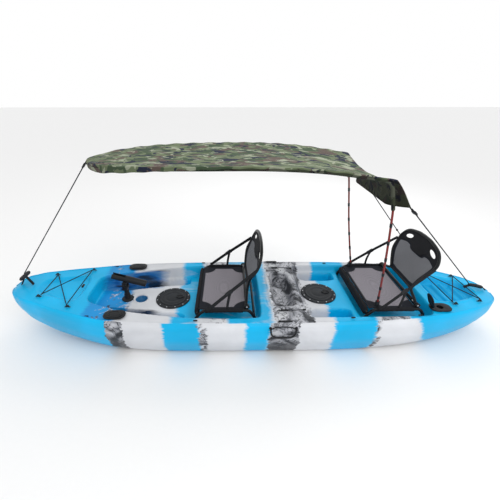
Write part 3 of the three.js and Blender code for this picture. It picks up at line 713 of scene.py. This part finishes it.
for name, (x, z) in HATCHES.items():
    rim = lathe(name + "_ring", [(96, -14), (102, -14), (102, 0.4), (133, 0.4), (134, 2), (133, 6),
                                 (130, 8.2), (122, 9.2), (111, 10), (108.6, 9.2), (108, 4),
                                 (96, 4)], (x, 0, z), PEBBLED, 96)
    finish_piece(rim, [name + "_rim"])
    for i in range(12):
        angle = (i + 0.5) / 12 * 2 * math.pi
        screw = lathe(f"{name}_screw_{i}", [(0, 8), (4, 8), (4.2, 9.6), (3.4, 10.6), (1.2, 10.9),
                                            (0, 10.2)],
                      (x + 122 * math.cos(angle), 122 * math.sin(angle), z), STEEL, 16)
        finish_piece(screw)
    profile = [(0, -6), (94, -6), (94, 4.6), (106, 4.6), (107.4, 6), (107.4, 10), (106, 11.4),
               (100, 14), (94, 14), (91, 12.6), (86, 12.6), (83, 14), (60, 14.4), (57, 13),
               (53, 13), (50, 14.4), (0, 14.4)]
    lid = lathe(name + "_cover", profile, (x, 0, z), PEBBLED, 144,
                wobble=notched(2.6, 24, (4, 5, 6)))
    finish_piece(lid, [name + "_lid"], name + "_lid")
    grip = lathe(name + "_grip", [(0, 12), (20, 12), (20, 19), (18.6, 21.4), (16.6, 22), (14.8, 21),
                                  (13.8, 16.4), (0, 15.6)], (x - 54, 0, z), PLASTIC, 60, 1.6)
    finish_piece(grip, body=name + "_lid")


# ---- rod holders ----

for node, body in (("rod_mount_base", "kayak_body"), ("rod_mount_post", "rod_post"),
                   ("rod_mount_tube", "rod_tube"), ("rod_mount_knob", "rod_knob")):
    piece = node_copy(node, node + "_moulding", PLASTIC, 0.0012)
    finish_piece(piece, [node], body)
for name in HOLDERS:
    piece = node_copy(name, name + "_moulding", PLASTIC, 0.001)
    finish_piece(piece, [name])
    lid = node_copy(name + "_cap", name + "_lid", PLASTIC, 0.0012)
    cap = name.replace("flush_holder", "cap")
    finish_piece(lid, [name + "_cap"], cap)
    angle, lift = (math.radians(112), 10.5) if name == "flush_holder_stern_port" else (0, 6.4)
    ring = lathe(name + "_ring", [(23, 4.6), (28, 4.6), (28, 6.2), (27, 7.4), (24.4, 7.4), (23, 6.2)],
                 (-58, 0, 0), PLASTIC, 60, 1.55)
    deck = float(np.interp(HOLDERS[name][0], STATIONS[:, 0], STATIONS[:, 2]))
    ring.data.transform(Matrix.Rotation(angle, 4, "Y"))
    ring.data.transform(Matrix.Translation(Vector((HOLDERS[name][0] + 60, HOLDERS[name][1],
                                                   deck + 1.6 + lift)) * MM))
    finish_piece(ring, body=cap)


# ---- deck fittings ----

BOW_PADS = ((1592, 146), (1342, 246))
STERN_PADS = ((-1430, 215), (-1640, 170))
for end in ("bow", "stern"):
    for row in ("front", "rear"):
        for side in ("port", "starboard"):
            node = f"pad_{end}_{row}_{side}"
            finish_piece(node_copy(node, node + "_eye", PLASTIC, 0.0007), [node])


def bungee(end, pads):
    (fx, fy), (rx, ry) = pads
    side = math.copysign(1, fx)
    deck = lambda x: float(np.interp(x, STATIONS[:, 0], STATIONS[:, 2]))
    corner = lambda x, y, sign, along: [x + along, sign * (y - 8), deck(x) + 9]
    route = [corner(fx, fy, 1, -side * 14), corner(fx, fy, -1, -side * 10),
             corner(rx, ry, 1, side * 10), corner(rx, ry, -1, side * 10),
             corner(fx, fy, 1, -side * 24)]
    route[2][2] += 4
    route[4][2] += 9
    path = []
    for a, b in zip(route, route[1:]):
        path += [np.array(a) + (np.array(b) - a) * t for t in np.linspace(0, 1, 14)[:-1]]
    path.append(np.array(route[-1]))
    piece = sweep(f"bungee_{end}_cord", path, 3.4, CORD, 12)
    finish_piece(piece, [f"bungee_{end}"])


bungee("bow", BOW_PADS)
bungee("stern", STERN_PADS)


def rod(name, start, end, radius):
    """Short round piece with softened ends between two points."""
    start, end = np.array(start, float), np.array(end, float)
    path = [start + (end - start) * t for t in (0, 0.06, 0.2, 0.5, 0.8, 0.94, 1)]
    piece = sweep(name, path, [radius * k for k in (0.55, 0.85, 1, 1, 1, 0.85, 0.55)], PLASTIC, 16)
    finish_piece(piece)


rod("bungee_toggle", (1332, -20, 375), (1332, 20, 375), 8)
for side, sign in SIDES:
    keeper = spline([(-126, sign * 288, 351), (-180, sign * 284, 353), (-250, sign * 286, 354),
                     (-314, sign * 280, 351)], 8)
    finish_piece(sweep(f"paddle_keeper_{side}", keeper, 3.2, CORD, 10))
    rod(f"paddle_keeper_hook_{side}", (-150, sign * 286, 353), (-206, sign * 286, 353), 7.5)
    rod(f"paddle_keeper_end_{side}", (-306, sign * 280, 352), (-328, sign * 280, 352), 7)
    for number, (x, y) in enumerate(((435, 384), (-632, 366), (-1100, 346), (1180, 330))):
        rod(f"gunwale_eye_{side}_{number}", (x - 14, sign * y, 350), (x + 14, sign * y, 350), 5)


def carry_handle(end, straps, grip, radius, taper, groove):
    """Two webbing straps and a grooved grip along the boat's end."""
    loops = [ribbon(f"{end}_handle_strap", route, 24, 4, (0, 1, 0), WEBBING) for route in straps]
    swell = [radius * (1 - taper * abs(t) ** 8) - groove * (math.cos(t * 22) > 0)
             for t in np.linspace(-1, 1, len(grip))]
    piece = sweep(f"{end}_handle_grip", grip, swell, PLASTIC, 24)
    finish_piece(join(loops, f"{end}_handle_straps"), [f"{end}_handle"])
    finish_piece(piece)


carry_handle("bow", [[(1792, 0, 393), (1776, 0, 420), (1752, 0, 462)],
                     [(1704, 0, 392), (1720, 0, 424), (1742, 0, 462)]],
             [(1747, y, 470) for y in np.linspace(-58, 58, 31)], 15, 0.5, 1.2)
carry_handle("stern", [[(-1808, 0, 312), (-1798, 0, 326), (-1772, 0, 343)],
                       [(-1636, 0, 334), (-1648, 0, 348), (-1676, 0, 356)]],
             spline([(-1782, 0, 334), (-1724, 0, 351), (-1664, 0, 362)], 14), 14, 0.4, 1.0)

for side, sign in SIDES:
    handle = f"side_handle_{side}"
    route = [(-237, 441, 318), (-229, 445, 274.6), (-202.6, 449, 256), (-151, 451, 256),
             (-99.4, 449, 256), (-73, 445, 274.6), (-65, 441, 318)]
    path = spline([(x, sign * y, z) for x, y, z in route], 10)
    swell = [6.2 + 1.4 * math.exp(-((i / (len(path) - 1) - 0.5) / 0.22) ** 4)
             for i in range(len(path))]
    loop = sweep(f"{handle}_loop", path, swell, PLASTIC, 18)
    finish_piece(loop, [handle], handle)
    upper = spline([(-238, sign * 434, 309), (-205, sign * 433, 325), (-151, sign * 432, 330),
                    (-97, sign * 433, 325), (-64, sign * 434, 309)], 8)
    finish_piece(sweep(f"{handle}_yoke", upper, 4, PLASTIC, 12))
    for end in (-237, -65):
        rod(f"{handle}_boss_{end + 300}", (end, sign * 424, 318), (end, sign * 436, 318), 9)
    rod(f"{handle}_saddle", (-214, sign * 398, 349), (-118, sign * 398, 349), 7)


# ---- seats ----

SEATS = {"seat_front": 449, "seat_rear": -738}
LEAN = math.radians(15)
PIVOT_X, PIVOT_Z = -362, 386
HOLE_Y, HOLE_Z = 150, 341


def leaned(points, x):
    """Points of the backrest (forward, sideways, up) to their place; its sides bow forward."""
    p = np.array(points, float)
    p[:, 0] += 30 * (p[:, 1] / 230) ** 2 * np.exp(-((p[:, 2] - 150) / 95) ** 2)
    out = np.empty_like(p)
    out[:, 0] = x + PIVOT_X + p[:, 0] * math.cos(LEAN) - p[:, 2] * math.sin(LEAN)
    out[:, 1] = p[:, 1]
    out[:, 2] = PIVOT_Z + p[:, 0] * math.sin(LEAN) + p[:, 2] * math.cos(LEAN)
    return out


def grid_mesh(name, grid, thickness, material, trim_and_shade=None, keep=None):
    """A cloth of even thickness from a grid of points; keep drops cells."""
    rows, cols = grid.shape[:2]
    points = grid.reshape(-1, 3) * MM
    faces = [(r * cols + c, r * cols + c + 1, (r + 1) * cols + c + 1, (r + 1) * cols + c)
             for r in range(rows - 1) for c in range(cols - 1)
             if keep is None or keep[r, c]]
    obj = make_mesh(name, points, faces, material,
                    attributes=None if trim_and_shade is None else {"trim_and_shade": trim_and_shade.ravel()})
    with mesh_edit(obj.data) as bm:
        loose = [v for v in bm.verts if not v.link_faces]
        bmesh.ops.delete(bm, geom=loose, context="VERTS")
    solid = obj.modifiers.new("thickness", "SOLIDIFY")
    solid.thickness = thickness * MM
    solid.offset = 0
    return obj


def both_ways(half):
    """A backrest outline from its port half."""
    return list(half) + [(-y, z) for y, z in reversed(half)]


def hand_hole(angle):
    """Half-size outline of a backrest's oval hand hole, sideways and up."""
    along, up, tilt = 46 * math.cos(angle), 19 * math.sin(angle), math.radians(-18)
    return (along * math.cos(tilt) - up * math.sin(tilt),
            along * math.sin(tilt) + up * math.cos(tilt))


def back_cloth(name, x, outline, span, across, thickness, material, belly, binding,
               holes=False):
    """Cloth in the backrest's plane, cut to an outline by dropping the grid cells outside it."""
    heights = np.linspace(span[0], span[1], 61)
    yy, zz = np.meshgrid(across, heights)
    s = distance(yy, zz, outline)
    if holes:
        ring = np.array([hand_hole(a) for a in np.linspace(0, 2 * math.pi, 33)[:-1]])
        for sign in (1, -1):
            hole = distance(yy, zz, (ring + (HOLE_Y, HOLE_Z)) * (sign, 1))
            s = np.maximum(s, -hole)
    keep = (s[:-1, :-1] + s[1:, 1:] + s[:-1, 1:] + s[1:, :-1]) < 4
    bow = belly * np.cos(yy / 232 * math.pi / 2) * np.sin((zz - span[0]) / (span[1] - span[0])
                                                          * math.pi)
    flat = np.stack([bow, yy, zz], axis=2).reshape(-1, 3)
    trim_and_shade = None if binding is None else np.clip(0.5 + (s + binding) / 40, 0, 1)
    return grid_mesh(name, leaned(flat, x).reshape(*yy.shape, 3), thickness, material, trim_and_shade=trim_and_shade,
                     keep=keep)


def inflate(obj, seams, cap):
    """Swells a padded piece between its sewn seams by a short cloth simulation, then applies it."""
    scene, mesh = bpy.context.scene, obj.data
    group = obj.vertex_groups.new(name="seams")
    group.add(seams, 1.0, "REPLACE")
    cloth = obj.modifiers.new("cloth", "CLOTH")
    cloth.settings.vertex_group_mass = "seams"
    cloth.settings.use_pressure = True
    cloth.settings.uniform_pressure_force = 40
    cloth.settings.effector_weights.gravity = 0
    for number in range(1, 21):
        scene.frame_set(number)
    swollen = obj.evaluated_get(bpy.context.evaluated_depsgraph_get()).to_mesh()
    places = [v.co.copy() for v in swollen.vertices]
    obj.modifiers.remove(cloth)
    scene.frame_set(1)
    for vertex, place in zip(mesh.vertices, places):
        move = place - vertex.co
        vertex.co += move * min(1.0, cap * MM / max(move.length, 1e-9))
    mesh.update()


def seat_base(name, x):
    """Arched side tubes with pivot lugs, cross bars, pivot bolt, spacer and padded sleeves."""
    bars = []
    for sign in (1, -1):
        y = sign * 300
        bars.append(sweep("arch", spline([
            (x + 6, y, 261.4), (x - 8, y, 301.4), (x - 60, y, 358), (x - 120, y, 366),
            (x - 320, y, 366), (x - 380, y, 358), (x - 418, y, 301.4), (x - 430, y, 261.4)], 9),
            11, TUBE, 20))
        lug = sweep("lug", [(x + PIVOT_X, sign * t, PIVOT_Z - 1) for t in (285.4, 286.4, 289.6, 290.6)],
                    [19, 20.5, 20.5, 19], TUBE, 24, 0.85)
        bars.append(lug)
    for bx, bz in ((x - 14, 336), (x - 414, 322)):
        bars.append(sweep("bar", [(bx, y, bz) for y in np.linspace(-298, 298, 12)], 9, TUBE, 18))
    finish_piece(join(bars, name + "_tubing"), [name + "_frame"])
    pin = sweep(name + "_bolt", [(x + PIVOT_X, t, PIVOT_Z) for t in (-296, -294, 294, 296)],
                [5, 6, 6, 5], STEEL, 20)
    finish_piece(pin, [name + "_pivot_pin"])
    spacer = sweep(name + "_spacer", [(x + PIVOT_X, t, PIVOT_Z) for t in (-222, -220, 220, 222)],
                   [7, 8.6, 8.6, 7], TUBE, 20)
    finish_piece(spacer)

    for side, sign in SIDES:
        wrap = sweep(f"{name}_sleeve_{side}", [(x - d, sign * 300, 366 - 0.00016 * (d - 205) ** 2)
                                               for d in np.linspace(74, 336, 30)],
                     [14.2 + 0.5 * math.sin(i * 1.7) for i in range(30)], PACK_CLOTH, 20)
        finish_piece(wrap)


def seat_pan(name, x):
    """Mesh slung between the side tubes, sagging and puckered, with a bound edge."""
    t = np.linspace(-0.038, 1, 41)[:, None]
    u = np.linspace(-1, 1, 61)[None, :]
    half = 285 - 1.5 * t
    inward = 1 - np.abs(u)
    sag = 12 * np.sin(math.pi * np.maximum(t, 0)) * (1 - np.abs(u) ** 2.2) * 1.25
    pucker = 1.3 * np.sin(u * 40 + 3 * t) * np.exp(-(inward / 0.12) ** 2)
    z = 363.5 - sag + pucker
    pan = np.stack([np.broadcast_to(x - 40 - 320 * t, z.shape), half * u, z], axis=2)
    edge = inward * half
    corner = np.hypot(edge, np.minimum(t, 1 - t) * 320)
    trim_and_shade = np.clip(0.5 + (26 - np.minimum(edge, 18 + np.minimum(t, 1 - t) * 320)) / 60, 0, 1)
    trim_and_shade = np.maximum(trim_and_shade, np.clip(0.5 + (92 - corner) / 90, 0, 1))
    piece = grid_mesh(name + "_sling", pan, 3.2, PAN_MESH, trim_and_shade=trim_and_shade)
    finish_piece(piece, [name + "_pan"])


def seat_roll(name, x):
    """Padded roll over the front bar, sewn in at the seams."""
    rings, sides, seam, half = 81, 28, 16, 278
    places = []
    for number, y in enumerate(np.linspace(-half, half, rings)):
        fill = (1 - 0.10 * abs(y / half) ** 10) * (0.93 if number % seam == 0 else 1)
        for angle in np.arange(sides) / sides * 2 * math.pi:
            c, s = math.cos(angle), math.sin(angle)
            rx = (18 - 6 * max(0.0, s)) * math.copysign(abs(c) ** 0.72, c)
            rz = 34 * math.copysign(abs(s) ** 0.72, s)
            wrinkle = 1 + 0.012 * math.sin(y * 0.19 + 3 * angle) * math.sin(angle * 2)
            places.append(((x - 14 + rx * fill * wrinkle) * MM, y * MM,
                           (336 + rz * fill * wrinkle) * MM))
    roll = make_mesh(name + "_bolster", places, tube_faces(rings, sides), PACK_CLOTH)
    inflate(roll, [r * sides + i for r in range(0, rings, seam) for i in range(sides)], 3)
    finish_piece(roll, [name + "_front_roll"])


def seat_back(name, x):
    """Bent hoop with a lower bar and pivot eyes, mesh, and a headboard with two hand holes."""
    back = name + "_back"
    hoop = both_ways([(274, 0), (226, 22), (160, 52), (184, 110), (224, 190), (244, 262),
                      (240, 318), (190, 374), (92, 402), (30, 408)])
    tube = spline(leaned([(0, y, z) for y, z in hoop], x), 8)
    parts = [sweep("hoop", tube, 10, TUBE, 20),
             sweep("lower_bar", leaned([(0, y, 52) for y in np.linspace(-160, 160, 21)], x), 8, TUBE,
                   16)]
    for sign in (1, -1):
        parts.append(sweep("eye", [(x + PIVOT_X, sign * t, PIVOT_Z) for t in (270, 271.2, 276.8, 278)],
                           [14.4, 16, 16, 14.4], TUBE, 24))
    finish_piece(join(parts, name + "_back_tubing"), [name + "_back_frame"], back)

    outline = rounded(both_ways([(158, 56), (182, 110), (222, 190), (243, 262), (238, 292),
                                 (205, 302), (150, 318), (84, 312), (66, 286)]), 1)
    across = np.linspace(-246, 246, 107)
    mesh = back_cloth(name + "_back_sling", x, outline, (52, 318), across, 3, BACK_MESH, -8, 24)
    finish_piece(mesh, [name + "_back_mesh"], back)
    board = rounded(both_ways([(60, 273), (78, 304), (149, 310), (205, 289), (243, 266),
                               (240, 318), (190, 374), (92, 401)]), 1)
    top = back_cloth(name + "_headboard", x, board, (264, 402), across, 6, PACK_CLOTH, 2.5, None,
                     holes=True)
    finish_piece(top, [name + "_top_panel"], back)
    for side, sign in SIDES:
        ring = []
        for angle in np.linspace(0, 2 * math.pi, 41):
            ring.append((0, sign * (HOLE_Y + hand_hole(angle)[0]), HOLE_Z + hand_hole(angle)[1]))
        rim = sweep(f"{name}_hole_rim_{side}", leaned(ring, x), 3.8, PLASTIC, 12)
        finish_piece(rim, body=back)


def seat_straps(name, x):
    """Brace straps from the side tubes to the hoop, each with a branch and a slider."""
    for side, sign in SIDES:
        brace = ribbon(f"{name}_brace_{side}", [
            (x - 84, sign * 316, 372), (x - 160, sign * 305, 438), (x - 240, sign * 292, 506),
            (x - 332, sign * 275, 581), (x - 424, sign * 258, 656)], 24, 3, (0.66, 0, 0.75),
            WEBBING)
        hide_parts(f"{name}_strap_{side}")
        branch = ribbon(f"{name}_branch_{side}", [
            (x - 226, sign * 300, 380), (x - 232, sign * 304, 430), (x - 246, sign * 294.5, 504)],
            18, 3, (0.97, 0, 0.24), WEBBING)
        slider = ribbon(f"{name}_slider_{side}", [
            (x - 222, sign * 294.4, 490), (x - 240, sign * 292, 506), (x - 258, sign * 289, 522)],
            31, 8, (0.66, 0, 0.75), PLASTIC)
        for piece in (brace, branch, slider):
            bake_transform(piece)


for name, x in SEATS.items():
    for make in (seat_base, seat_pan, seat_roll, seat_back, seat_straps):
        make(name, x)


# ---- canopy ----

CANOPY = np.array([
    (1087, 10, 1338, 0), (1052, 114, 1342, 0), (960, 232, 1350, 2), (800, 322, 1359, 6),
    (600, 374, 1366, 12), (350, 396, 1370, 18), (0, 400, 1370, 24), (-300, 394, 1353, 32),
    (-550, 388, 1320, 42), (-690, 385, 1296, 50),
], float)


EDGE, ACROSS, FLAP = 6, 65, 24
COLUMNS = ACROSS + 2 * EDGE


def canopy():
    """One cloth over the frame, with a hanging edge and a stern flap darkened as painted shade, its hem
    and its sleeves.
    """
    lines = spline(CANOPY, 12)
    u = np.concatenate([[-1] * EDGE, np.linspace(-1, 1, ACROSS), [1] * EDGE])
    fall = np.concatenate([np.arange(EDGE, 0, -1) / EDGE, np.zeros(ACROSS),
                           np.arange(1, EDGE + 1) / EDGE])
    rows = []
    for x, half, edge, sag in lines:
        z = edge - 2.5 - sag * (1 - u * u)
        ripple = 2.4 * np.sin(x * 0.021 + 5 * u) * np.sin(u * 9 + x * 0.006) * (1 - u * u)
        pull = 2.2 * np.sin((x + 700) * 0.05 + np.abs(u) * 6) * np.exp(-((1 - np.abs(u)) / 0.2) ** 2)
        hang = np.interp(x, [-690, 200, 615, 960, 1060, 1087], [7, 10, 26, 46, 28, 5])
        sway = 2.5 * np.sin(x * 0.045) * fall
        y = u * half * 0.995 + np.sign(u) * sway
        rows.append(np.column_stack([np.full(COLUMNS, x), y, z + ripple + pull - hang * fall]))
    last = rows[-1]
    corner = np.clip((np.abs(u) - 0.6) / 0.4, 0, 1) ** 1.4
    hem_x, hem_z = -733 - 69 * corner, 1112 + 28 * corner
    ridge_z = last[:, 2] + 7 * fall
    for t in np.linspace(0, 1, FLAP + 1)[1:]:
        fold = 5 * np.sin(u * 17 + 2 * t) * np.sin(math.pi * t) * (1 - 0.4 * np.abs(u))
        bulge = -10 * np.sin(math.pi * t) * (1 - u * u)
        rows.append(np.column_stack([
            last[:, 0] + (hem_x - last[:, 0]) * t ** 0.9 + fold + bulge + 7 * fall * min(1, 6 * t),
            u * 384,
            ridge_z + (hem_z - ridge_z) * t - 7 * fall * (1 - min(1, 6 * t))]))
    # painted shade: a third of the darkening on the hanging edges, all of it on the stern flap, half on
    # the row where the flap folds down
    shade = np.zeros((len(rows), COLUMNS))
    shade[:, :EDGE] = 0.35
    shade[:, -EDGE:] = 0.35
    shade[-FLAP:] = 1.0
    shade[-FLAP - 1] = 0.5
    cloth = grid_mesh("canopy_cloth", np.array(rows), 1.4, CAMO, trim_and_shade=shade)
    finish_piece(cloth, ["canopy_skin"])
    # hem and sleeves in the print darkened to a fifth, as painted shade
    hem = sweep("canopy_hem", rows[-1][EDGE:-EDGE], 4, CAMO_SHADED, 12, 0.7)
    finish_piece(hem)
    for side, sign in SIDES:
        path = [(x, sign * (half - 14), edge - 17) for x, half, edge, sag in CANOPY[1:-1]]
        path += [(-640, sign * 372, 1287), (-674, sign * 370, 1262), (-693, sign * 368, 1210),
                 (-718, sign * 363, 1118)]
        sleeve = sweep(f"canopy_sleeve_{side}", spline(path, 9), 11, CAMO_SHADED)
        finish_piece(sleeve)


canopy()

for side, sign in SIDES:
    route = [(1050, sign * 52, 1322)]
    route += [(x, sign * (half - 14), edge - 18) for x, half, edge, sag in CANOPY[2:-1]]
    route += [(-640, sign * 370, 1284), (-672, sign * 368, 1262), (-692, sign * 366, 1210),
              (-719, sign * 362, 1112), (-772, sign * 330, 740), (-819, sign * 277, 438),
              (-822, sign * 274, 392)]
    path = spline(route, 9)
    pole = sweep(f"pole_{side}_rod", path, 6.6, POLE, 18)
    finish_piece(pole, [f"pole_{side}"])
    upright = path[-40:]
    for level in (1020, 900, 780, 660, 540, 452):
        ends = [[np.interp(-z, -upright[:, 2], upright[:, k]) for k in range(3)]
                for z in (level - 16, level + 16)]
        rod(f"pole_{side}_ferrule_{level}", ends[0], ends[1], 8.2)
    node = f"pole_socket_{side}"
    finish_piece(node_copy(node, node + "_cup", PLASTIC, 0.0012), [node])


# ---- studio ----

def studio():
    """Pale floor, even white surroundings and two soft lights."""
    floor = make_mesh("floor", [(-30, -30, -0.001), (30, -30, -0.001), (30, 30, -0.001),
                                (-30, 30, -0.001)], [(0, 1, 2, 3)],
                      grained("pale_floor", (0.86, 0.86, 0.86), 0.8, 40, 0.0002, 0, 0.02), False)
    world = bpy.data.worlds.new("studio")
    world.use_nodes = True
    world.node_tree.nodes["Background"].inputs["Color"].default_value = (1, 1, 1, 1)
    world.node_tree.nodes["Background"].inputs["Strength"].default_value = 1.0
    bpy.context.scene.world = world
    bpy.context.scene.view_settings.view_transform = "Standard"
    for name, place, size, power in (("key", (-1.3, 2.6, 3.6), 2.2, 55),
                                     ("back", (-1.4, -3.2, 3.2), 3.0, 30)):
        data = bpy.data.lights.new(name, "AREA")
        data.energy = power
        data.size = size
        light = add_object(name, data)
        light.location = place
        aim = Vector((0, 0, 0.4)) - light.location
        light.rotation_euler = aim.to_track_quat("-Z", "Y").to_euler()


studio()
